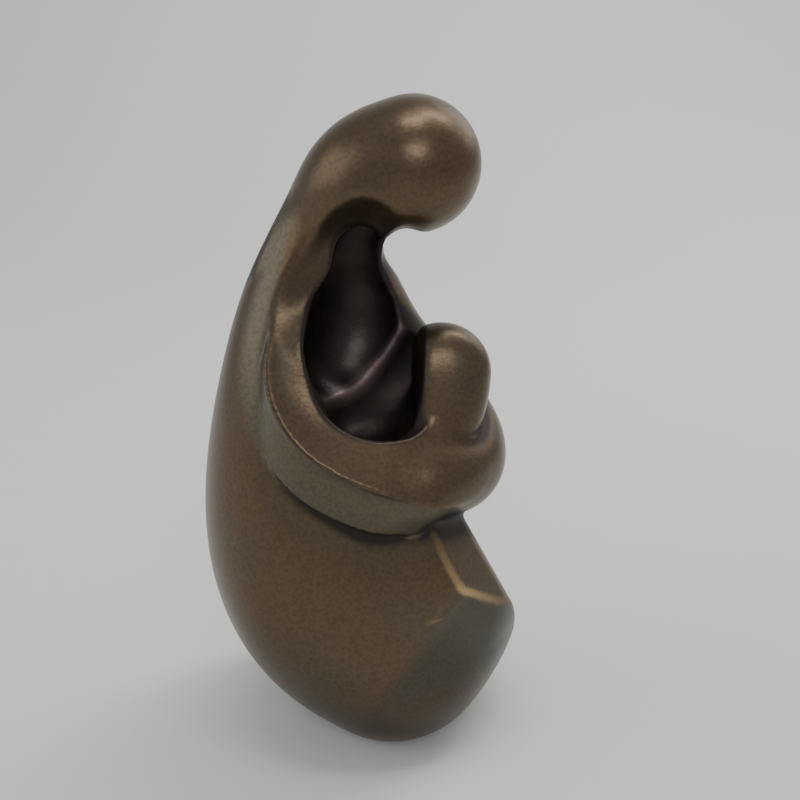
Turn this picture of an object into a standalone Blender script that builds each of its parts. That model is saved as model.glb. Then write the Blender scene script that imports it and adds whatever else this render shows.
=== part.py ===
"""Mother and child: a small hollow-cast bronze of a mother bowed over the child in her arms.

The figure is one free form: round masses that melt into each other, with the hollow between
the arms scooped out of them. Each mass is a formula for how far a place lies outside it, in
modules, of which the height has about 160. X runs to the viewer's right, Y away from the
viewer, Z up. The finished solid stands on a small flat and has the middle of its box at X and
Y nought.
"""
import bpy
import numpy as np
from math import ceil, cos, radians, sin, sqrt

for old in list(bpy.data.objects):
    bpy.data.objects.remove(old)

HEIGHT = 0.160            # standing height, from the flat underside to the top of the head
FOOT_WIDTH = 0.0247       # flat ground under the round skirt, so that the figure stands
SKIN_CELL = 1.15          # cell that the skin is drawn through, in modules
SKIN_TRIANGLES = 8600     # triangles left in the finished skin
BRONZE = (0.110, 0.078, 0.048, 1.0)

# Stations along a spine are (x, y, z, radius), lowest or nearest the shoulder first.
TOP = 160.0
SOLE_RADIUS = 26.0        # roundness of the skirt's underside
BACK = [(-2, 5, SOLE_RADIUS, SOLE_RADIUS), (-11.5, 6, 40, 30.5), (-17.5, 6, 57, 29.5), (-19.5, 5.5, 75, 26.2),
        (-20.5, 4.5, 95, 20.8), (-20.2, 5, 113, 15.4), (-17, 4.5, 125.6, 12.6), (-11.6, 2.5, 135.3, 12.8),
        (-5.4, -1, 142, 14.3), (2.8, -3, 145.6, 14.4)]
FAR_ARM = [(-11.7, 12, 129, 8.0), (-10.9, 13, 121.5, 8.1), (-7.6, 13, 112.5, 8.6), (-2.6, 13, 103, 8.8),
           (6, 11, 92, 9.5), (14, 4, 81, 10.3), (12.5, -5.5, 77.5, 10.4), (5, -12, 78.5, 8.3)]
CHILD = [(9.3, -3.5, 99.6, 11.2), (8.6, -5.5, 92, 10.4), (4, -8, 84, 9)]
CHEST_HOLLOW = [(-8.5, -13, 129, 5.2), (-8.5, -6, 127.5, 5.5), (-8.5, -1, 124, 6.7), (-9, 0.5, 118.5, 8.3),
                (-8.5, -1, 112, 11), (-10.5, -5, 104, 12)]
LAP_HOLLOW = [(-6.5, -9, 94.5, 10.5), (-3, -8, 96, 12), (1, -5, 98, 11), (3.5, -1, 102, 8)]
NECK_GAP = [(1.2, -18, 131.2, 4.2), (1.2, 0, 127, 4.2), (1.2, 24, 121.8, 4.5)]
CHIN_HOLLOW = [(-4, -15, 129.6, 5.2), (3, -15, 128.8, 5.2), (9, -12.5, 128, 4.6)]
SLEEVE_FLUTE = [(-8, -16.8, 132.5, 7.5), (-11.2, -12.1, 127.3, 8), (-14.7, -12.4, 123.3, 8),
                (-18.8, -14.1, 119.9, 8), (-23.1, -17.2, 116.7, 8), (-25, -22, 113, 8)]
SLEEVE_EDGE = 1.3         # width over which its outer edge is rounded
RIM_HOLLOW = 5.0          # radius of the round groove that follows the inner edge of the sleeve
# The near sleeve is a ribbon between two edge lines, from the shoulder round to the child.
SLEEVE_OUTER = [(-14.5, 0, 137), (-19.8, -3, 131.5), (-25.4, -8, 119.7), (-28, -13, 109.5), (-28.4, -17, 104),
                (-26.4, -22, 96.5), (-19.6, -26.5, 88.6), (-8.7, -28, 82), (1.1, -27, 77.8), (8, -24, 76),
                (13.5, -17, 75.5)]
SLEEVE_INNER = [(-9, 2, 137), (-13.8, 1, 127.3), (-17.5, -3, 119.2), (-20.4, -10, 112.4), (-19.4, -16, 103),
                (-14.6, -19.5, 94.2), (-6.6, -20, 90.5), (1.7, -17.5, 90.8), (5, -15, 92), (9, -12, 92),
                (13, -8, 90)]
SLEEVE_ANGLES = [118, 116, 112, 106, 100, 104, 110, 115, 115, 115]   # degrees between its top and its side
SLEEVE_DEPTHS = [2, 5, 9, 11, 12, 12, 12, 12, 12, 12]
SLEEVE_DISH = [0, 2, 2, 1.4, 1.0, 0.7, 0.4, 0, 0, 0]   # how far its top is dished below its edges
SLEEVE_LIP = [0, 0, 0, 0, 0, 0.5, 1.2, 1.2, 0.2, 0]    # how far its side is grooved below its edge
# The knee is the corner where the thighs and the shins plane the egg of the skirt. A flat
# rolls away past a start, on a radius.
EGG = ((-3, 9.5, 46), (40, 32, 46), radians(10))       # middle, radii and lean
KNEE = (14.6, -18.8, 52.6)
THIGH_FACING = (0.785, -0.456, 0.418)
THIGH_ROLL = (-8.7, 4.6)                               # away from the viewer
SHIN_FACING = (0.552, -0.803, -0.222)
SHIN_SIDE = (0.824, 0.566, 0)
SHIN_ROLL = (10.9, 16.9)                               # along the side
SHIN_FALL = (-22, 31.7)                                # downwards
KNEE_EDGE = 0.8
# Child and bundle: the child's face is flattened on a plane and scooped by a ball.
BUNDLE = ((3.5, -8, 78.5), (16, 15, 10.5))
FACE_PLACE = (9, -13.4, 98)
FACE_FACING = (0.1, -0.95, 0.3)
FACE_SCOOP = ((-9.5, -6, 102), (14.8, 18, 28))


def melt(first, second, reach):
    """Smooth union: the lesser distance, less a parabola where the two are within reach."""
    overlap = np.maximum(reach - np.abs(first - second), 0.0) / reach
    return np.minimum(first, second) - overlap ** 2 * reach / 4


def common(first, second, edge):
    """Smooth common part: the greater distance, its edge rounded over the given width."""
    return -melt(-first, -second, edge)


def ramp(value, start, end):
    """Nought at start, one at end, a straight line between."""
    return np.clip((value - start) / (end - start), 0.0, 1.0)


def roll(value, bend):
    """How far a flat has rolled away at this value: past a start, on a radius that runs out
    into a slope of one in one."""
    start, radius = bend
    return np.sqrt(radius ** 2 + np.maximum(value - start, 0.0) ** 2) - radius


def spline(stations, count):
    """Natural cubic spline through the stations, read at even steps of their chord length."""
    knots = np.asarray(stations, float)
    gaps = np.linalg.norm(np.diff(knots[:, :3], axis=0), axis=1)
    along = np.concatenate([[0.0], np.cumsum(gaps)])
    system = np.eye(len(knots))
    bends = np.zeros_like(knots)
    for i in range(1, len(knots) - 1):
        system[i, i - 1:i + 2] = gaps[i - 1], 2 * (gaps[i - 1] + gaps[i]), gaps[i]
        bends[i] = 6 * ((knots[i + 1] - knots[i]) / gaps[i] - (knots[i] - knots[i - 1]) / gaps[i - 1])
    bends = np.linalg.solve(system, bends)
    place = np.linspace(0.0, along[-1], count)
    span = np.clip(np.searchsorted(along, place) - 1, 0, len(gaps) - 1)
    gap = gaps[span][:, None]
    after = (along[span + 1] - place)[:, None]
    before = gap - after
    line = (bends[span] * after ** 3 + bends[span + 1] * before ** 3) / (6 * gap)
    line += (knots[span] / gap - bends[span] * gap / 6) * after
    return line + (knots[span + 1] / gap - bends[span + 1] * gap / 6) * before


def nearest(places, centres, radii):
    """For each place, the number of the centre that is nearest once its radius is taken off."""
    squares = (places ** 2).sum(1)[:, None] + (centres ** 2).sum(1) - 2 * places @ centres.T
    return np.argmin(np.sqrt(np.maximum(squares, 0.0)) - radii, axis=1)


def tube(places, spine):
    """Round tube: distance to its spine less the radius there, at the lowest point of a
    parabola through the nearest sample and its two neighbours."""
    middle = np.clip(nearest(places, spine[:, :3], spine[:, 3]), 1, len(spine) - 2)
    before, here, after = (np.sqrt(((places - spine[k, :3]) ** 2).sum(1)) - spine[k, 3]
                           for k in (middle - 1, middle, middle + 1))
    bend = np.maximum(before - 2 * here + after, 1e-9)
    shift = np.clip((before - after) / (2 * bend), -1, 1)
    return here + shift * (after - before) / 2 + shift ** 2 * bend / 2


def limb(places, stations, count=48):
    """Round limb whose spine is a spline through the stations."""
    return tube(places, spline(stations, count))


def ball(places, centre, radii, lean=0.0):
    """Ellipsoid, leaning by the given angle: its scaled radius less one, divided by the slope
    of that radius, which is the distance near its surface."""
    turn = np.array([(cos(lean), 0, sin(lean)), (0, 1, 0), (-sin(lean), 0, cos(lean))])
    local = (places - centre) @ turn.T / radii
    scaled = np.sqrt((local ** 2).sum(1))
    slope = np.sqrt(((local / radii) ** 2).sum(1))
    return scaled * (scaled - 1) / np.maximum(slope, 1e-9)


def edge_frame(outer, inner, count=90):
    """Lines along a ribbon's two edges, with the width between them and the directions along
    it, above it and across it, from the inner edge to the outer."""
    outer = spline(outer, count)
    inner = spline(inner, count)
    width = np.linalg.norm(outer - inner, axis=1)[:, None]
    along = np.gradient((outer + inner) / 2, axis=0)
    along /= np.linalg.norm(along, axis=1)[:, None]
    above = np.cross(outer - inner, along)
    above /= np.linalg.norm(above, axis=1)[:, None]
    return outer, inner, width, along, above, np.cross(along, above)


SLEEVE = edge_frame(SLEEVE_OUTER, SLEEVE_INNER)


def sleeve(places):
    """Ribbon with a dished top between two edge lines, and a side at an angle to the top that
    is grooved below its edge. Each place is read in the frame of its nearest sample: out
    across the top, and up from it."""
    outer, inner, width, along, above, across = SLEEVE
    count = len(outer)
    middle = (outer + inner) / 2
    near = nearest(places, middle, np.zeros(count))
    step = np.linalg.norm(middle[1] - middle[0])
    place = near + np.clip(((places - middle[near]) * along[near]).sum(1) / step, -1, 1)
    place = np.clip(place, 0, count - 1.001)
    sample = place.astype(int)
    rest = (place - sample)[:, None]

    def read(values):
        return values[sample] * (1 - rest) + values[sample + 1] * rest

    def spread(values):
        shares = np.interp(np.linspace(0, 1, count), np.linspace(0, 1, len(values)), values)
        return read(shares[:, None])[:, 0]

    from_edge = places - read(outer)
    out = (from_edge * read(across)).sum(1)
    up = (from_edge * read(above)).sum(1)
    wide = read(width)[:, 0]
    slant = np.radians(180 - spread(SLEEVE_ANGLES))
    share = np.clip(2 * out / wide + 1, -1, 1)
    top = up + spread(SLEEVE_DISH) * (1 - share ** 2)
    below = np.maximum(-up, 0.0) / 1.6
    side = out * np.sin(slant) + up * np.cos(slant) + spread(SLEEVE_LIP) * below * np.exp(1 - below)
    solid = common(top, side, SLEEVE_EDGE)
    solid = common(solid, -(out + wide + 4.0), 1.0)
    solid = common(solid, -(up + spread(SLEEVE_DEPTHS)), 1.0)
    ends = np.maximum(-((places - middle[0]) @ along[0]), (places - middle[-1]) @ along[-1])
    return common(solid, ends, 2.0)


def rim_groove(places):
    """Round groove just inside the sleeve's inner edge, which it leaves as a clean rim."""
    outer, inner, width, along, above, across = SLEEVE
    spine = inner - across * RIM_HOLLOW * 0.97 + above * RIM_HOLLOW * 0.25
    spine = np.c_[spine, np.full(len(spine), RIM_HOLLOW)]
    return tube(places, spine[6:75])


def skirt(places):
    """Egg of the seated lap, planed flat on the right by the thighs above and the shins below,
    so that the three meet at the knee. The lower the shins, the softer their edge."""
    z = places[:, 2]
    thighs = (places - KNEE) @ THIGH_FACING + 0.9 * roll(places[:, 1], THIGH_ROLL)
    shins = (places - KNEE) @ SHIN_FACING + roll((places - KNEE) @ SHIN_SIDE, SHIN_ROLL) + roll(-z, SHIN_FALL)
    return common(common(ball(places, *EGG), shins, KNEE_EDGE + 8 * ramp(z, 46, 30)), thighs, KNEE_EDGE)


def child(places):
    """The child's head and body, flat in front and scooped on the left."""
    front = (places - FACE_PLACE) @ FACE_FACING
    return common(common(limb(places, CHILD), front, 5.0), -ball(places, *FACE_SCOOP), 2.0)


def figure(places):
    """How far outside the whole figure each place lies. The sleeve melts wider into the
    shoulder and the bundle, and the child into the bundle."""
    x, z = places[:, 0], places[:, 2]
    body = melt(limb(places, BACK), skirt(places), 3.0)
    body = melt(body, limb(places, FAR_ARM), 4.0)
    body = melt(body, sleeve(places), 0.8 + 3 * ramp(z, 122, 136) + 5 * ramp(x, 0, 10))
    body = common(body, -limb(places, SLEEVE_FLUTE), 2.5)
    lap_hollow = limb(places, LAP_HOLLOW)
    hollow = melt(melt(limb(places, CHEST_HOLLOW), lap_hollow, 0.8), rim_groove(places), 2.5)
    under_head = melt(limb(places, NECK_GAP), limb(places, CHIN_HOLLOW), 2.0)
    body = common(common(body, -hollow, 0.9), -under_head, 2.5)
    body = common(melt(body, ball(places, *BUNDLE), 3.0), -lap_hollow, 1.0)
    return melt(body, child(places), 1.2 + 5 * ramp(x, 14, 4) * ramp(z, 94, 84))


CORNERS = [np.array(((i >> 2) & 1, (i >> 1) & 1, i & 1)) for i in range(8)]


def in_one_piece(members):
    """Whether these corners of a cell hang together along the cell's edges."""
    reached = members[:1]
    for corner in reached:
        reached.extend(i for i in members if i not in reached and bin(i ^ corner).count("1") == 1)
    return len(reached) == len(members)


def corner_values(grid, cells):
    """The grid's values at the eight corners of each cell."""
    return np.stack([grid[tuple((cells + corner).T)] for corner in CORNERS], 1)


def untangle(grid):
    """Fills the corner nearest the surface in every cell that two pieces of skin would share,
    until the skin is a single sheet everywhere."""
    clean = np.array([in_one_piece([i for i in range(8) if code >> i & 1])
                      and in_one_piece([i for i in range(8) if not code >> i & 1])
                      for code in range(256)])
    shape = np.array(grid.shape) - 1
    while True:
        code = np.zeros(shape, int)
        for i, (a, b, c) in enumerate(CORNERS):
            code |= (grid[a:a + shape[0], b:b + shape[1], c:c + shape[2]] < 0).astype(int) << i
        cells = np.argwhere(~clean[code])
        if not len(cells):
            return grid, np.argwhere((code > 0) & (code < 255))
        held = corner_values(grid, cells)
        pick = np.argmin(np.where(held > 0, held, np.inf), 1)
        target = tuple((cells + np.array(CORNERS)[pick]).T)
        grid[target] = -np.abs(grid[target])


def in_parts(solid, places, size=20000):
    """The solid's distances, worked out for a part of the places at a time."""
    return np.concatenate([solid(places[i:i + size]) for i in range(0, len(places), size)])


def draw_skin(solid, low, high, cell):
    """Closed skin of four-sided faces: a corner in each cell that the surface crosses, at the
    mean of its crossings, and a face round each edge of the grid that it crosses. The grid is
    read closely only in blocks whose middles lie near the surface."""
    block = 4
    low = np.asarray(low, float)
    blocks = np.ceil((np.asarray(high) - low) / (cell * block)).astype(int)
    middles = low + (np.argwhere(np.ones(blocks)) * block + (block - 1) / 2) * cell
    grid = np.kron(in_parts(solid, middles).reshape(blocks), np.ones((block, block, block)))
    close = np.argwhere(np.abs(grid) < cell * block * 1.5)
    grid[tuple(close.T)] = in_parts(solid, low + close * cell)
    grid, cells = untangle(grid)
    held = corner_values(grid, cells)
    total = np.zeros((len(cells), 3))
    crossings = np.zeros(len(cells))
    for i, j in ((i, j) for i in range(8) for j in range(i) if bin(i ^ j).count("1") == 1):
        crossed = (held[:, i] < 0) != (held[:, j] < 0)
        share = (held[:, i] / (held[:, i] - held[:, j] + (~crossed)))[:, None]
        total[crossed] += (CORNERS[i] + share * (CORNERS[j] - CORNERS[i]))[crossed]
        crossings[crossed] += 1
    points = low + (cells + total / crossings[:, None]) * cell
    number = np.full(grid.shape, -1)
    number[tuple(cells.T)] = np.arange(len(cells))
    inside = grid < 0
    faces = []
    for axis in range(3):
        ahead = np.roll(np.eye(3, dtype=int), -axis, 0)
        edges = np.argwhere(inside[tuple(slice(0, n - s) for n, s in zip(grid.shape, ahead[0]))]
                            != inside[tuple(slice(s, None) for s in ahead[0])])
        ring = np.stack([number[tuple((edges - a * ahead[1] - b * ahead[2]).T)]
                         for a, b in ((0, 0), (1, 0), (1, 1), (0, 1))], 1)
        backward = ~inside[tuple(edges.T)]
        ring[backward] = ring[backward][:, ::-1]
        faces.append(ring)
    return points, np.concatenate(faces)


# The ground cuts the round sole where it is as wide as the foot; the module depends on both.
module = HEIGHT / TOP
for _ in range(8):
    ground = SOLE_RADIUS - sqrt(SOLE_RADIUS ** 2 - (FOOT_WIDTH / 2 / module) ** 2)
    module = HEIGHT / (TOP - ground)


def standing_figure(places):
    """The figure cut off flat at the ground."""
    return common(figure(places), ground - places[:, 2], 0.5)


points, faces = draw_skin(standing_figure, (-54, -38, -4), (36, 50, 167), SKIN_CELL)
middle = (points.min(0) + points.max(0)) / 2
points = (points - (middle[0], middle[1], ground)) * module

collection = bpy.data.collections.new("mother and child")
bpy.context.scene.collection.children.link(collection)
mesh = bpy.data.meshes.new("mother_and_child")
mesh.from_pydata(points.tolist(), [], faces.tolist())
mesh.shade_smooth()
sculpture = bpy.data.objects.new("mother_and_child", mesh)
collection.objects.link(sculpture)

thinned = sculpture.modifiers.new("thinned skin", "DECIMATE")
thinned.ratio = SKIN_TRIANGLES / (2 * len(faces))

bronze = bpy.data.materials.new("bronze")
bronze.use_nodes = True
surface = bronze.node_tree.nodes["Principled BSDF"]
surface.inputs["Base Color"].default_value = BRONZE
surface.inputs["Metallic"].default_value = 1.0
surface.inputs["Roughness"].default_value = 0.4
mesh.materials.append(bronze)
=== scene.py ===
"""A small hollow-cast bronze of a mother bowed over the child in her arms, on a pale floor."""
from math import cos, radians, sin, sqrt

import bpy
import numpy as np
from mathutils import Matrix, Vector


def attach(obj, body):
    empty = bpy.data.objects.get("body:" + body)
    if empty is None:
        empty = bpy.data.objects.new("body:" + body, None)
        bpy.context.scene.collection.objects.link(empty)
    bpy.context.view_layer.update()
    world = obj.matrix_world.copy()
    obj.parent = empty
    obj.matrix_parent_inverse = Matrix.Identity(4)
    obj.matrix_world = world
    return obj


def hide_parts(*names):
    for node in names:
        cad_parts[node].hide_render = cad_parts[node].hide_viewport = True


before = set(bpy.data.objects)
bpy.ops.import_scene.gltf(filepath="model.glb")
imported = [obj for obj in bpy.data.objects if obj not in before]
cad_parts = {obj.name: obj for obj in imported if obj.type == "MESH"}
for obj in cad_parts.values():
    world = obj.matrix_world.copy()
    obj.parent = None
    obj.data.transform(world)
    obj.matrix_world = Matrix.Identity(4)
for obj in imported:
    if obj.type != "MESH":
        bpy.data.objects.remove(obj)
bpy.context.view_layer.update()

# The casting: mother and child in one hollow bronze, modelled full size in wax, so that its
# masses melt into each other, and chased after casting. It stands on a small flat of its sole.
# Its shape is written in modules, of which the height has about 160.
HEIGHT = 0.160            # standing height, in metres
FOOT_WIDTH = 0.0247       # flat of the sole, in metres
FOOT_EDGE = 0.5           # width over which its edge is rounded
SKIN_CELL = 0.7           # cell that the skin is drawn through
SKIN_BOX = ((-54, -38, -4), (36, 50, 167))

# Stations along a spine are (x, y, z, radius), lowest or nearest the shoulder first.
TOP = 160.0
SOLE_RADIUS = 26.0        # roundness of the skirt's underside
BACK = [(-2, 5, SOLE_RADIUS, SOLE_RADIUS), (-11.5, 6, 40, 30.5), (-17.5, 6, 57, 29.5), (-19.5, 5.5, 75, 26.2),
        (-20.5, 4.5, 95, 20.8), (-20.2, 5, 113, 15.4), (-17, 4.5, 125.6, 12.6), (-11.6, 2.5, 135.3, 12.8),
        (-5.4, -1, 142, 14.3), (2.8, -3, 145.6, 14.4)]
FAR_ARM = [(-11.7, 12, 129, 8.0), (-10.9, 13, 121.5, 8.1), (-7.6, 13, 112.5, 8.6), (-2.6, 13, 103, 8.8),
           (6, 11, 92, 9.5), (14, 4, 81, 10.3), (12.5, -5.5, 77.5, 10.4), (5, -12, 78.5, 8.3)]
CHILD = [(9.3, -3.5, 99.6, 11.2), (8.6, -5.5, 92, 10.4), (4, -8, 84, 9)]
CHEST_HOLLOW = [(-8.5, -13, 129, 5.2), (-8.5, -6, 127.5, 5.5), (-8.5, -1, 124, 6.7), (-9, 0.5, 118.5, 8.3),
                (-8.5, -1, 112, 11), (-10.5, -5, 104, 12)]
LAP_HOLLOW = [(-6.5, -9, 94.5, 10.5), (-3, -8, 96, 12), (1, -5, 98, 11), (3.5, -1, 102, 8)]
NECK_GAP = [(1.2, -18, 131.2, 4.2), (1.2, 0, 127, 4.2), (1.2, 24, 121.8, 4.5)]
CHIN_HOLLOW = [(-4, -15, 129.6, 5.2), (3, -15, 128.8, 5.2), (9, -12.5, 128, 4.6)]
SLEEVE_FLUTE = [(-8, -16.8, 132.5, 7.5), (-11.2, -12.1, 127.3, 8), (-14.7, -12.4, 123.3, 8),
                (-18.8, -14.1, 119.9, 8), (-23.1, -17.2, 116.7, 8), (-25, -22, 113, 8)]

# The near sleeve is a ribbon between two edge lines, from the shoulder round to the child.
SLEEVE_EDGE = 1.3         # width over which its outer edge is rounded
SLEEVE_TAIL = 4.0         # how far it runs on past its inner edge, into the body
SLEEVE_SAMPLES = 90
GROOVE_DEEPEST = 1.6      # where the groove in its side is deepest, below the edge
RIM_RADIUS = 5.0          # of the round groove that follows its inner edge
RIM_ASIDE = 0.97          # how far the groove's middle lies inside the edge, in its radius
RIM_ABOVE = 0.25          # how far above it
RIM_SPAN = slice(6, 75)   # samples along which the groove runs
SLEEVE_OUTER = [(-14.5, 0, 137), (-19.8, -3, 131.5), (-25.4, -8, 119.7), (-28, -13, 109.5), (-28.4, -17, 104),
                (-26.4, -22, 96.5), (-19.6, -26.5, 88.6), (-8.7, -28, 82), (1.1, -27, 77.8), (8, -24, 76),
                (13.5, -17, 75.5)]
SLEEVE_INNER = [(-9, 2, 137), (-13.8, 1, 127.3), (-17.5, -3, 119.2), (-20.4, -10, 112.4), (-19.4, -16, 103),
                (-14.6, -19.5, 94.2), (-6.6, -20, 90.5), (1.7, -17.5, 90.8), (5, -15, 92), (9, -12, 92),
                (13, -8, 90)]
SLEEVE_ANGLES = [118, 116, 112, 106, 100, 104, 110, 115, 115, 115]   # degrees, its top to its side
SLEEVE_DEPTHS = [2, 5, 9, 11, 12, 12, 12, 12, 12, 12]
SLEEVE_DISH = [0, 2, 2, 1.4, 1.0, 0.7, 0.4, 0, 0, 0]   # how far its top is dished below its edges
SLEEVE_LIP = [0, 0, 0, 0, 0, 0.5, 1.2, 1.2, 0.2, 0]    # how far its side is grooved below its edge

# The knee is the corner where the thighs and the shins plane the egg of the skirt. A flat
# rolls away past a start, on a radius.
EGG = ((-3, 9.5, 46), (40, 32, 46), radians(10))       # middle, radii and lean
KNEE = (14.6, -18.8, 52.6)
THIGH_FACING = (0.785, -0.456, 0.418)
THIGH_ROLL = (-8.7, 4.6)                               # away from the viewer
THIGH_SLOPE = 0.9                                      # slope that this roll runs out to
SHIN_FACING = (0.552, -0.803, -0.222)
SHIN_SIDE = (0.824, 0.566, 0)
SHIN_ROLL = (10.9, 16.9)                               # along the side
SHIN_FALL = (-22, 31.7)                                # downwards
KNEE_EDGE = 0.8                                        # width over which the ridges are rounded
SHIN_SOFTENS = (46, 30)                                # heights between which the shins' edge widens
SHIN_WIDENS = 8                                        # and by how much

# Child and bundle: the child is flattened in front on a plane and scooped by a ball.
BUNDLE = ((3.5, -8, 78.5), (16, 15, 10.5))
FACE_PLACE = (9, -13.4, 98)
FACE_FACING = (0.1, -0.95, 0.3)
FACE_SCOOP = ((-9.5, -6, 102), (14.8, 18, 28))
FACE_EDGE = 5.0
SCOOP_EDGE = 2.0

# Widths over which the masses melt into each other, or a hollow's edge is rounded. Where one
# widens, it is by so much between two places.
LAP_MELT = 3.0
ARM_MELT = 4.0
SLEEVE_MELT = 0.8
SHOULDER_WIDENS = (3, 122, 136)                        # up
BUNDLE_WIDENS = (5, 0, 10)                             # to the right
WAIST_SPAN = (72, 78)                                  # up, from none at the waist to the whole of it
BUNDLE_MELT = 3.0
CHILD_MELT = 1.2
NEST_WIDENS = (5, 14, 4)                               # to the left
NEST_SPAN = (94, 84)                                   # down
FLUTE_EDGE = 2.5
HOLLOW_MELT = 0.8                                      # of the chest and the lap
RIM_MELT = 2.5
RIM_EDGE = 0.9
LAP_EDGE = 1.0
NECK_MELT = 2.0
NECK_EDGE = 2.5


def melt(first, second, reach):
    """Smooth union: the lesser distance, less a parabola where the two are within reach."""
    overlap = np.maximum(reach - np.abs(first - second), 0.0) / reach
    return np.minimum(first, second) - overlap ** 2 * reach / 4


def common(first, second, edge):
    """Smooth common part: the greater distance, its edge rounded over the given width."""
    return -melt(-first, -second, edge)


def ramp(value, start, end):
    """Nought at start, one at end, a straight line between."""
    return np.clip((value - start) / (end - start), 0.0, 1.0)


def roll(value, bend):
    """How far a flat has rolled away at this value: past a start, on a radius that runs out
    into a slope of one in one."""
    start, radius = bend
    return np.sqrt(radius ** 2 + np.maximum(value - start, 0.0) ** 2) - radius


def spline(stations, count):
    """Natural cubic spline through the stations, read at even steps of their chord length."""
    knots = np.asarray(stations, float)
    gaps = np.linalg.norm(np.diff(knots[:, :3], axis=0), axis=1)
    along = np.concatenate([[0.0], np.cumsum(gaps)])
    system = np.eye(len(knots))
    bends = np.zeros_like(knots)
    for i in range(1, len(knots) - 1):
        system[i, i - 1:i + 2] = gaps[i - 1], 2 * (gaps[i - 1] + gaps[i]), gaps[i]
        bends[i] = 6 * ((knots[i + 1] - knots[i]) / gaps[i] - (knots[i] - knots[i - 1]) / gaps[i - 1])
    bends = np.linalg.solve(system, bends)
    place = np.linspace(0.0, along[-1], count)
    span = np.clip(np.searchsorted(along, place) - 1, 0, len(gaps) - 1)
    gap = gaps[span][:, None]
    after = (along[span + 1] - place)[:, None]
    before = gap - after
    line = (bends[span] * after ** 3 + bends[span + 1] * before ** 3) / (6 * gap)
    line += (knots[span] / gap - bends[span] * gap / 6) * after
    return line + (knots[span + 1] / gap - bends[span + 1] * gap / 6) * before


def nearest(places, centres, radii):
    """For each place, the number of the centre that is nearest once its radius is taken off."""
    squares = (places ** 2).sum(1)[:, None] + (centres ** 2).sum(1) - 2 * places @ centres.T
    return np.argmin(np.sqrt(np.maximum(squares, 0.0)) - radii, axis=1)


def tube(places, spine):
    """Round tube: distance to its spine less the radius there, at the lowest point of a
    parabola through the nearest sample and its two neighbours."""
    middle = np.clip(nearest(places, spine[:, :3], spine[:, 3]), 1, len(spine) - 2)
    before, here, after = (np.sqrt(((places - spine[k, :3]) ** 2).sum(1)) - spine[k, 3]
                           for k in (middle - 1, middle, middle + 1))
    bend = np.maximum(before - 2 * here + after, 1e-9)
    shift = np.clip((before - after) / (2 * bend), -1, 1)
    return here + shift * (after - before) / 2 + shift ** 2 * bend / 2


def limb(places, stations, count=48):
    """Round limb whose spine is a spline through the stations."""
    return tube(places, spline(stations, count))


def ball(places, centre, radii, lean=0.0):
    """Ellipsoid, leaning by the given angle: its scaled radius less one, divided by the slope
    of that radius, which is the distance near its surface."""
    turn = np.array([(cos(lean), 0, sin(lean)), (0, 1, 0), (-sin(lean), 0, cos(lean))])
    local = (places - centre) @ turn.T / radii
    scaled = np.sqrt((local ** 2).sum(1))
    slope = np.sqrt(((local / radii) ** 2).sum(1))
    return scaled * (scaled - 1) / np.maximum(slope, 1e-9)


def edge_frame(outer, inner, count):
    """Lines along a ribbon's two edges, with the width between them and the directions along
    it, above it and across it, from the inner edge to the outer."""
    outer = spline(outer, count)
    inner = spline(inner, count)
    width = np.linalg.norm(outer - inner, axis=1)[:, None]
    along = np.gradient((outer + inner) / 2, axis=0)
    along /= np.linalg.norm(along, axis=1)[:, None]
    above = np.cross(outer - inner, along)
    above /= np.linalg.norm(above, axis=1)[:, None]
    return outer, inner, width, along, above, np.cross(along, above)


SLEEVE = edge_frame(SLEEVE_OUTER, SLEEVE_INNER, SLEEVE_SAMPLES)


def sleeve(places):
    """Ribbon with a dished top between two edge lines, and a side at an angle to the top that
    is grooved below its edge. Each place is read in the ribbon's frame where the frame's plane
    passes through it, found in a few steps from the nearest sample: out across the top, and up
    from it."""
    outer, inner, width, along, above, across = SLEEVE
    count = len(outer)
    middle = (outer + inner) / 2
    step = np.linalg.norm(middle[1] - middle[0])
    place = nearest(places, middle, np.zeros(count)).astype(float)

    def read(values):
        sample = place.astype(int)
        rest = (place - sample)[:, None]
        return values[sample] * (1 - rest) + values[sample + 1] * rest

    for _ in range(4):
        place = np.clip(place, 0, count - 1.001)
        ahead = ((places - read(middle)) * read(along)).sum(1) / step
        place = np.clip(place + np.clip(ahead, -1, 1), 0, count - 1.001)

    def spread(values):
        shares = np.interp(np.linspace(0, 1, count), np.linspace(0, 1, len(values)), values)
        return read(shares[:, None])[:, 0]

    from_edge = places - read(outer)
    out = (from_edge * read(across)).sum(1)
    up = (from_edge * read(above)).sum(1)
    wide = read(width)[:, 0]
    slant = np.radians(180 - spread(SLEEVE_ANGLES))
    share = np.clip(2 * out / wide + 1, -1, 1)
    top = up + spread(SLEEVE_DISH) * (1 - share ** 2)
    below = np.maximum(-up, 0.0) / GROOVE_DEEPEST
    side = out * np.sin(slant) + up * np.cos(slant) + spread(SLEEVE_LIP) * below * np.exp(1 - below)
    solid = common(top, side, SLEEVE_EDGE)
    solid = common(solid, -(out + wide + SLEEVE_TAIL), 1.0)
    solid = common(solid, -(up + spread(SLEEVE_DEPTHS)), 1.0)
    ends = np.maximum(-((places - middle[0]) @ along[0]), (places - middle[-1]) @ along[-1])
    return common(solid, ends, 2.0)


def rim_groove(places):
    """Round groove just inside the sleeve's inner edge, which it leaves as a clean rim."""
    _, inner, _, _, above, across = SLEEVE
    spine = inner - across * RIM_RADIUS * RIM_ASIDE + above * RIM_RADIUS * RIM_ABOVE
    spine = np.c_[spine, np.full(len(spine), RIM_RADIUS)]
    return tube(places, spine[RIM_SPAN])


def thigh_flat(places):
    """Flat of the thighs, which rolls away from the viewer."""
    return (places - KNEE) @ THIGH_FACING + THIGH_SLOPE * roll(places[:, 1], THIGH_ROLL)


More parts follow.
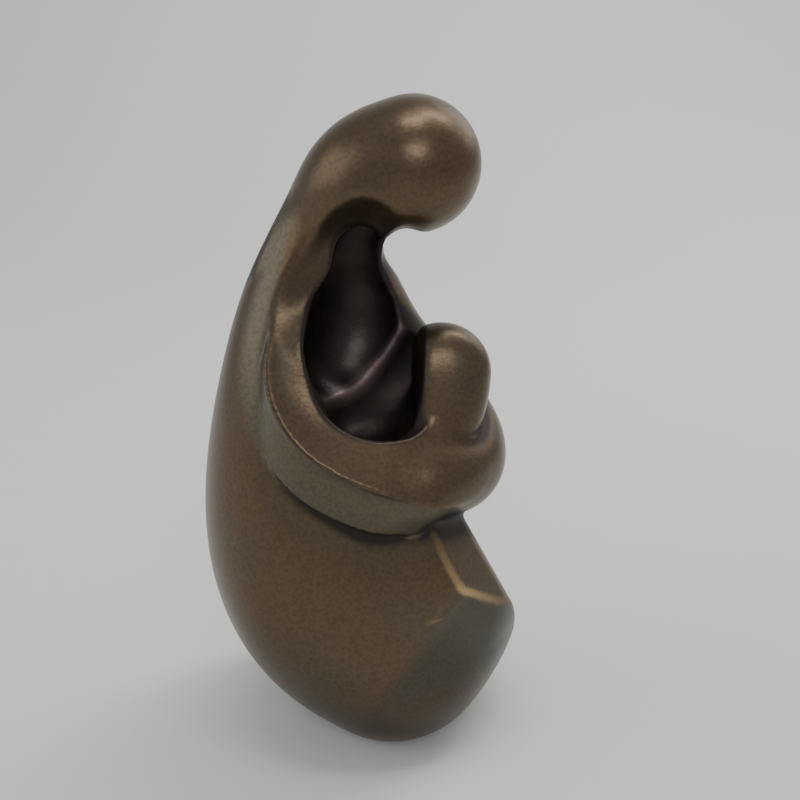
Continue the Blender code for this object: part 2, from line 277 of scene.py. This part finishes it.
def shin_flat(places):
    """Flat of the shins, which rolls away along their side and downwards."""
    local = places - KNEE
    return local @ SHIN_FACING + roll(local @ SHIN_SIDE, SHIN_ROLL) + roll(-places[:, 2], SHIN_FALL)


def skirt(places):
    """Egg of the seated lap, planed flat on the right by the thighs above and the shins below,
    so that the three meet at the knee. The lower the shins, the softer their edge."""
    shin_edge = KNEE_EDGE + SHIN_WIDENS * ramp(places[:, 2], *SHIN_SOFTENS)
    return common(common(ball(places, *EGG), shin_flat(places), shin_edge), thigh_flat(places), KNEE_EDGE)


def child(places):
    """The child's head and body, flat in front and scooped on the left."""
    front = (places - FACE_PLACE) @ FACE_FACING
    return common(common(limb(places, CHILD), front, FACE_EDGE), -ball(places, *FACE_SCOOP), SCOOP_EDGE)


def widened(value, widens):
    """How much wider a melt is at this value: by so much, between a start and an end."""
    most, start, end = widens
    return most * ramp(value, start, end)


def arm_hollow(places):
    """Hollow between the arms: chest and lap, and the groove along the sleeve's rim."""
    return melt(melt(limb(places, CHEST_HOLLOW), limb(places, LAP_HOLLOW), HOLLOW_MELT), rim_groove(places),
                RIM_MELT)


def figure(places):
    """How far outside the whole figure each place lies. The sleeve melts wider into the
    shoulder and the bundle, and the child into the bundle."""
    x, z = places[:, 0], places[:, 2]
    sleeve_melt = SLEEVE_MELT + widened(z, SHOULDER_WIDENS) + widened(x, BUNDLE_WIDENS) * ramp(z, *WAIST_SPAN)
    child_melt = CHILD_MELT + widened(x, NEST_WIDENS) * ramp(z, *NEST_SPAN)
    body = melt(limb(places, BACK), skirt(places), LAP_MELT)
    body = melt(body, limb(places, FAR_ARM), ARM_MELT)
    body = melt(body, sleeve(places), sleeve_melt)
    body = common(body, -limb(places, SLEEVE_FLUTE), FLUTE_EDGE)
    body = common(body, -arm_hollow(places), RIM_EDGE)
    under_head = melt(limb(places, NECK_GAP), limb(places, CHIN_HOLLOW), NECK_MELT)
    body = common(body, -under_head, NECK_EDGE)
    body = common(melt(body, ball(places, *BUNDLE), BUNDLE_MELT), -limb(places, LAP_HOLLOW), LAP_EDGE)
    return melt(body, child(places), child_melt)


CORNERS = [np.array(((i >> 2) & 1, (i >> 1) & 1, i & 1)) for i in range(8)]


def in_one_piece(members):
    """Whether these corners of a cell hang together along the cell's edges."""
    reached = members[:1]
    for corner in reached:
        reached.extend(i for i in members if i not in reached and bin(i ^ corner).count("1") == 1)
    return len(reached) == len(members)


def corner_values(grid, cells):
    """The grid's values at the eight corners of each cell."""
    return np.stack([grid[tuple((cells + corner).T)] for corner in CORNERS], 1)


def untangle(grid):
    """Fills the corner nearest the surface in every cell that two pieces of skin would share,
    until the skin is a single sheet everywhere."""
    clean = np.array([in_one_piece([i for i in range(8) if code >> i & 1])
                      and in_one_piece([i for i in range(8) if not code >> i & 1])
                      for code in range(256)])
    shape = np.array(grid.shape) - 1
    while True:
        code = np.zeros(shape, int)
        for i, (a, b, c) in enumerate(CORNERS):
            code |= (grid[a:a + shape[0], b:b + shape[1], c:c + shape[2]] < 0).astype(int) << i
        cells = np.argwhere(~clean[code])
        if not len(cells):
            return grid, np.argwhere((code > 0) & (code < 255))
        held = corner_values(grid, cells)
        pick = np.argmin(np.where(held > 0, held, np.inf), 1)
        target = tuple((cells + np.array(CORNERS)[pick]).T)
        grid[target] = -np.abs(grid[target])


def in_parts(solid, places, size=20000):
    """The solid's distances, worked out for a part of the places at a time."""
    return np.concatenate([solid(places[i:i + size]) for i in range(0, len(places), size)])


def draw_skin(solid, low, high, cell):
    """Closed skin of four-sided faces: a corner in each cell that the surface crosses, at the
    mean of its crossings, and a face round each edge of the grid that it crosses. The grid is
    read closely only in blocks whose middles lie near the surface."""
    block = 4
    low = np.asarray(low, float)
    blocks = np.ceil((np.asarray(high) - low) / (cell * block)).astype(int)
    middles = low + (np.argwhere(np.ones(blocks)) * block + (block - 1) / 2) * cell
    grid = np.kron(in_parts(solid, middles).reshape(blocks), np.ones((block, block, block)))
    close = np.argwhere(np.abs(grid) < cell * block * 1.5)
    grid[tuple(close.T)] = in_parts(solid, low + close * cell)
    grid, cells = untangle(grid)
    held = corner_values(grid, cells)
    total = np.zeros((len(cells), 3))
    crossings = np.zeros(len(cells))
    for i, j in ((i, j) for i in range(8) for j in range(i) if bin(i ^ j).count("1") == 1):
        crossed = (held[:, i] < 0) != (held[:, j] < 0)
        share = (held[:, i] / (held[:, i] - held[:, j] + (~crossed)))[:, None]
        total[crossed] += (CORNERS[i] + share * (CORNERS[j] - CORNERS[i]))[crossed]
        crossings[crossed] += 1
    points = low + (cells + total / crossings[:, None]) * cell
    number = np.full(grid.shape, -1)
    number[tuple(cells.T)] = np.arange(len(cells))
    inside = grid < 0
    faces = []
    for axis in range(3):
        ahead = np.roll(np.eye(3, dtype=int), -axis, 0)
        edges = np.argwhere(inside[tuple(slice(0, n - s) for n, s in zip(grid.shape, ahead[0]))]
                            != inside[tuple(slice(s, None) for s in ahead[0])])
        ring = np.stack([number[tuple((edges - a * ahead[1] - b * ahead[2]).T)]
                         for a, b in ((0, 0), (1, 0), (1, 1), (0, 1))], 1)
        backward = ~inside[tuple(edges.T)]
        ring[backward] = ring[backward][:, ::-1]
        faces.append(ring)
    return points, np.concatenate(faces)


# The ground cuts the round sole where it is as wide as the foot; the module depends on both.
module = HEIGHT / TOP
for _ in range(8):
    ground = SOLE_RADIUS - sqrt(SOLE_RADIUS ** 2 - (FOOT_WIDTH / 2 / module) ** 2)
    module = HEIGHT / (TOP - ground)


def standing_figure(places):
    """The figure cut off flat at the ground."""
    return common(figure(places), ground - places[:, 2], FOOT_EDGE)


def slope(solid, places, reach=0.05):
    """Gradient of the solid's distance from four places round each one, a small tetrahedron."""
    ways = np.array([(1, -1, -1), (-1, -1, 1), (-1, 1, -1), (1, 1, 1)], float)
    return sum(way * solid(places + way * reach)[:, None] for way in ways) / (4 * reach)


def settle(solid, places, rounds=3, longest=0.4):
    """Moves each place along the slope by its distance over the slope squared, until it lies
    on the surface."""
    for _ in range(rounds):
        rise = slope(solid, places)
        move = -rise * (solid(places) / np.maximum((rise ** 2).sum(1), 0.05))[:, None]
        length = np.linalg.norm(move, axis=1)[:, None]
        places = places + move * np.minimum(1, longest / np.maximum(length, 1e-9))
    return places


def shelter(solid, places, ways, lengths):
    """How closely a place is shut in, nought in the open and one in a deep crease: one less the
    mean share of several lengths out from it that lies clear of the solid."""
    clear = [np.clip(solid(places + ways * length) / length, 0, 1) for length in lengths]
    return 1 - np.mean(clear, 0)


def bend(solid, places, ways, reach):
    """How sharply the surface bends, above nought on a ridge and below it in a crease: the mean
    distance on a small ring round each place, against the place itself."""
    side = np.cross(ways, np.where(np.abs(ways[:, 2:]) < 0.7, (0, 0, 1.0), (1.0, 0, 0)))
    side /= np.linalg.norm(side, axis=1)[:, None]
    other = np.cross(ways, side)
    ring = [solid(places + way * reach) for way in (side, -side, other, -other)]
    return (np.mean(ring, 0) - solid(places)) / reach


points, faces = draw_skin(standing_figure, *SKIN_BOX, SKIN_CELL)
points = settle(standing_figure, points)
outward = slope(standing_figure, points)
outward /= np.linalg.norm(outward, axis=1)[:, None]
middle = (points.min(0) + points.max(0)) / 2
mesh = bpy.data.meshes.new("casting")
mesh.from_pydata(((points - (middle[0], middle[1], ground)) * module).tolist(), [], faces.tolist())
mesh.shade_smooth()

# The patina: brown all over, with painted shade over a dark patina that makes the hollow between the
# arms nearly black and a painted sheen on the ridge inside it, painted shade and a duller finish in the
# creases and wherever the surface is shut in, a painted reflection of the pale room, greyer green, on the
# side of the near sleeve, a darker grey on the flat of the shins, and bare metal rubbed at the knee and
# along sharp edges, where it is also a painted highlight.
PATINA = (0.102, 0.076, 0.048, 1)
PATINA_WARM = (0.112, 0.074, 0.042, 1)
PAINTED_ROOM_REFLECTION = (0.108, 0.090, 0.060, 1)
SHIN_DARK_GREY = (0.066, 0.058, 0.043, 1)
HOLLOW_PATINA_AND_SHADE = (0.040, 0.030, 0.027, 1)
PAINTED_RIDGE_SHEEN = (0.16, 0.115, 0.110, 1)
DARK_SPECKS_AND_SHADE = (0.030, 0.022, 0.019, 1)
RUBBED_METAL_AND_HIGHLIGHT = (0.55, 0.38, 0.18, 1)
SHELTER_LENGTHS = (2, 5, 10, 16)     # lengths out from the surface at which shelter is read
RIDGE_REACH = 0.9         # radius of the ring on which a ridge or a crease is read
KNEE_RUB_AND_HIGHLIGHT = 20             # how far along its ridges the knee is rubbed and given a painted highlight
KNEE_BENDS = (0.03, 0.11)            # bends between which the knee is rubbed and given a painted highlight, from not to wholly
EDGE_BENDS = (0.22, 0.40)            # and any sharp edge
EDGE_RUB_AND_HIGHLIGHT = 0.3            # how much an edge is rubbed and given a painted highlight
CREASE_BENDS = (-0.10, -0.30)        # bends between which a crease is darkened with painted shade
CREASE_MOST = 0.8         # and by how much
RIDGE_BLUR = 9            # how far the painted sheen on the ridge between the chest and the lap spreads
SHIN_BORDER = (0.80, -0.21, -0.56)   # faces away from the ridge that bounds the shins on the left
SIDE_DEPTHS = (8, 12)     # of the sleeve's side, near the shoulder and round the child


def lay(name, values):
    """Lays a value on each point of the casting, for the patina to read."""
    mesh.attributes.new(name, "FLOAT", "POINT").data.foreach_set("value", values.astype(np.float32))


chest = limb(points, CHEST_HOLLOW)
lap = limb(points, LAP_HOLLOW)
shut = shelter(standing_figure, points, outward, SHELTER_LENGTHS)
bends = bend(standing_figure, points, outward, RIDGE_REACH)
from_knee = np.linalg.norm(points - KNEE, axis=1)
# Painted shade over a dark patina: the hollow between the arms is made nearly black.
lay("hollow", ramp(np.abs(arm_hollow(points)), 1.4, 0.4) * ramp(child(points), 0.6, 1.8))
lay("shelter", shut)
# Painted shade in the creases, where the surface bends inwards and is shut in.
lay("crease", CREASE_MOST * ramp(bends, *CREASE_BENDS) * ramp(shut, 0.02, 0.08))
# Painted sheen on the ridge inside the hollow, between the chest and the lap.
lay("ridge", ramp(np.abs(chest - lap), RIDGE_BLUR, 0.5) * ramp(np.maximum(chest, lap), 2.5, 1.0)
    * ramp(rim_groove(points), 0.5, 3))
# Bare metal rubbed on the knee's ridges and on sharp edges, partly a painted highlight.
lay("rub_and_highlight", ramp(bends, *KNEE_BENDS) * ramp(from_knee, KNEE_RUB_AND_HIGHLIGHT, 2) + EDGE_RUB_AND_HIGHLIGHT * ramp(bends, *EDGE_BENDS))
# The flat of the shins is painted a darker grey.
lay("shin", ramp((points - KNEE) @ SHIN_BORDER, -1.5, 3.5) * ramp(thigh_flat(points), -0.3, -1.5)
    * ramp(points[:, 2], 6, 30) * ramp(points[:, 1], 25, 5))

# The sleeve's side is read in the frame of the nearest place on its outer edge; a painted reflection of the
# pale room tints it greyer green.
outer, _, _, _, above, across = SLEEVE
beside = nearest(points, outer, np.zeros(len(outer)))
under = -((points - outer[beside]) * above[beside]).sum(1)
aside = np.abs(((points - outer[beside]) * across[beside]).sum(1))
deep = np.interp(beside, (20, 50), SIDE_DEPTHS)
lay("sleeve_side_reflection", ramp(under, 0.6, 1.6) * ramp(under - deep, 0.5, -0.5) * ramp(aside, 7, 5))

bronze = bpy.data.materials.new("patinated_bronze")
bronze.use_nodes = True


def node(kind, inputs, output, **settings):
    """Socket of a new node in the patina; each input is a constant or another node's socket."""
    made = bronze.node_tree.nodes.new("ShaderNode" + kind)
    for key, value in settings.items():
        setattr(made, key, value)
    for key, value in inputs.items():
        if isinstance(value, bpy.types.NodeSocket):
            bronze.node_tree.links.new(value, made.inputs[key])
        else:
            made.inputs[key].default_value = value
    return made.outputs[output]


def share(value, start, end, low=0.0, high=1.0):
    """Low at the start and high at the end, smooth between."""
    span = {"From Min": start, "From Max": end, "To Min": low, "To Max": high}
    return node("MapRange", {"Value": value, **span}, "Result", interpolation_type="SMOOTHSTEP")


def blend(factor, first, second):
    """One colour or value run into another."""
    return node("Mix", {0: factor, 6: first, 7: second}, 2, data_type="RGBA")


def mottle(place, scale, detail=3.0):
    """Cloudy noise from nought to one."""
    return node("TexNoise", {"Vector": place, "Scale": scale, "Detail": detail}, "Fac")


def attribute(name):
    """Value laid on the mesh above."""
    return node("Attribute", {}, "Fac", attribute_name=name)


CLOUDS_PER_METRE = 38
SPECKS_PER_METRE = 1100
STAINS_PER_METRE = 160    # of the hollow
BRUSHING = (350, 350, 1600)          # strokes per metre, finest across them
BRUSH_TURN = (0.3, 0.5, 0)
SPECK_DARK = 0.26         # how much darker a speck is
FOOT_DARK = 0.4           # how much darker the foot is
FOOT_DARK_TOP = 0.035     # height at which it starts to darken, in metres
ROUGHNESS = (0.34, 0.50)  # in the open, and where it is shut in

place = node("TexCoord", {}, "Object")
clouds = share(mottle(place, CLOUDS_PER_METRE), 0.38, 0.62)
specks = share(mottle(place, SPECKS_PER_METRE, 4), 0.35, 0.70)
brushed = node("Mapping", {"Vector": place, "Rotation": BRUSH_TURN, "Scale": BRUSHING}, "Vector")
grain = mottle(brushed, 1.0, 2)
shut_in = share(attribute("shelter"), 0.05, 0.30)
# Painted shade over the hollow's dark patina, mottled between two dark tones.
shaded_hollow_mottle = blend(share(mottle(place, STAINS_PER_METRE), 0.35, 0.65), HOLLOW_PATINA_AND_SHADE, DARK_SPECKS_AND_SHADE)
foot = share(node("SeparateXYZ", {"Vector": place}, "Z"), FOOT_DARK_TOP, 0, 0, FOOT_DARK)

colour = blend(clouds, PATINA, PATINA_WARM)
# Painted reflection of the pale room, greyer green, on the sleeve's side.
colour = blend(attribute("sleeve_side_reflection"), colour, PAINTED_ROOM_REFLECTION)
colour = blend(attribute("shin"), colour, SHIN_DARK_GREY)
colour = blend(share(specks, 0, 1, 0.0, SPECK_DARK), colour, DARK_SPECKS_AND_SHADE)
# Painted shade in the creases.
colour = blend(attribute("crease"), colour, DARK_SPECKS_AND_SHADE)
colour = blend(foot, colour, DARK_SPECKS_AND_SHADE)
# Painted shade wherever the surface is shut in.
colour = blend(shut_in, colour, DARK_SPECKS_AND_SHADE)
# The hollow, darkened by painted shade over its dark patina, with a painted sheen on its ridge.
colour = blend(attribute("hollow"), colour, blend(attribute("ridge"), shaded_hollow_mottle, PAINTED_RIDGE_SHEEN))
# Rubbed bare metal with a painted highlight on the knee's ridges and sharp edges.
colour = blend(attribute("rub_and_highlight"), colour, RUBBED_METAL_AND_HIGHLIGHT)
height = blend(0.5, grain, specks)
finish = node("Bump", {"Height": height, "Strength": 0.12, "Distance": 0.0002}, "Normal")

surface = bronze.node_tree.nodes["Principled BSDF"]
roughness = share(shut_in, 0, 1, *ROUGHNESS)
for name, value in (("Base Color", colour), ("Roughness", roughness), ("Normal", finish)):
    bronze.node_tree.links.new(value, surface.inputs[name])
surface.inputs["Metallic"].default_value = 0.75
mesh.materials.append(bronze)

casting = bpy.data.objects.new("casting", mesh)
bpy.context.scene.collection.objects.link(casting)
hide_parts("mother_and_child")
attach(casting, "root")

# The floor: a pale sheet that lies flat under the casting and sweeps up behind it.
FLOOR_WIDTH = 5.0
FLOOR_FRONT = -2.0        # its front edge, along Y
SWEEP_START = 0.5         # where it starts to rise
SWEEP_RADIUS = 0.6
WALL_HEIGHT = 2.0
turn = np.radians(np.linspace(0, 90, 25))
profile = np.array([(FLOOR_FRONT, 0), *np.c_[SWEEP_START + SWEEP_RADIUS * np.sin(turn),
                                             SWEEP_RADIUS * (1 - np.cos(turn))],
                    (SWEEP_START + SWEEP_RADIUS, WALL_HEIGHT)])
sides = [np.c_[np.full(len(profile), x), profile] for x in (-FLOOR_WIDTH / 2, FLOOR_WIDTH / 2)]
strip = np.arange(len(profile) - 1)
sheet = bpy.data.meshes.new("floor")
sheet.from_pydata(np.concatenate(sides).tolist(), [],
                  np.c_[strip, strip + len(profile), strip + len(profile) + 1, strip + 1].tolist())
sheet.shade_smooth()
card = bpy.data.materials.new("pale_card")
card.use_nodes = True
card.node_tree.nodes["Principled BSDF"].inputs["Base Color"].default_value = (0.70, 0.705, 0.68, 1)
card.node_tree.nodes["Principled BSDF"].inputs["Roughness"].default_value = 0.8
sheet.materials.append(card)
floor = bpy.data.objects.new("floor", sheet)
bpy.context.scene.collection.objects.link(floor)

# The light: a pale room, soft panels overhead, in front, at the left and behind, and one that
# lights the sheet where it sweeps up.
world = bpy.data.worlds.new("pale_room")
bpy.context.scene.world = world
world.use_nodes = True
world.node_tree.nodes["Background"].inputs["Color"].default_value = (0.75, 0.77, 0.80, 1)
world.node_tree.nodes["Background"].inputs["Strength"].default_value = 0.60


def panel(name, place, target, width, depth, power):
    """A soft light at a place, facing its target."""
    light = bpy.data.lights.new(name, "AREA")
    light.shape = "RECTANGLE"
    light.size = width
    light.size_y = depth
    light.energy = power
    lamp = bpy.data.objects.new(name, light)
    lamp.location = place
    lamp.rotation_euler = (Vector(target) - Vector(place)).to_track_quat("-Z", "Y").to_euler()
    bpy.context.scene.collection.objects.link(lamp)


CASTING_MIDDLE = (0, 0, HEIGHT / 2)
WALL_SPOT = (0.1, 1.0, 0.4)
panel("overhead", (0.0, -0.12, 0.95), CASTING_MIDDLE, 0.4, 0.16, 2.0)
panel("front", (0.08, -0.70, 0.55), CASTING_MIDDLE, 0.4, 0.2, 1.5)
panel("left", (-0.7, -0.1, 0.35), CASTING_MIDDLE, 0.6, 0.5, 1.4)
panel("behind", (0.5, 0.4, 0.5), CASTING_MIDDLE, 0.5, 0.5, 1.2)
panel("backdrop", (0.4, 0.2, 0.9), WALL_SPOT, 0.6, 0.3, 6)

# The camera: at the photograph's height and tilt, upright, with the casting's foot below the
# middle of the frame.
CAMERA_PLACE = (0.00912, -0.24684, 0.17895)
CAMERA_TILT = 20.3        # degrees below the level
CAMERA_LENS = 49.05       # millimetres
camera = bpy.data.objects.new("camera", bpy.data.cameras.new("camera"))
camera.data.lens = CAMERA_LENS
camera.location = CAMERA_PLACE
camera.rotation_euler = (radians(90 - CAMERA_TILT), 0, 0)
bpy.context.scene.collection.objects.link(camera)
bpy.context.scene.camera = camera
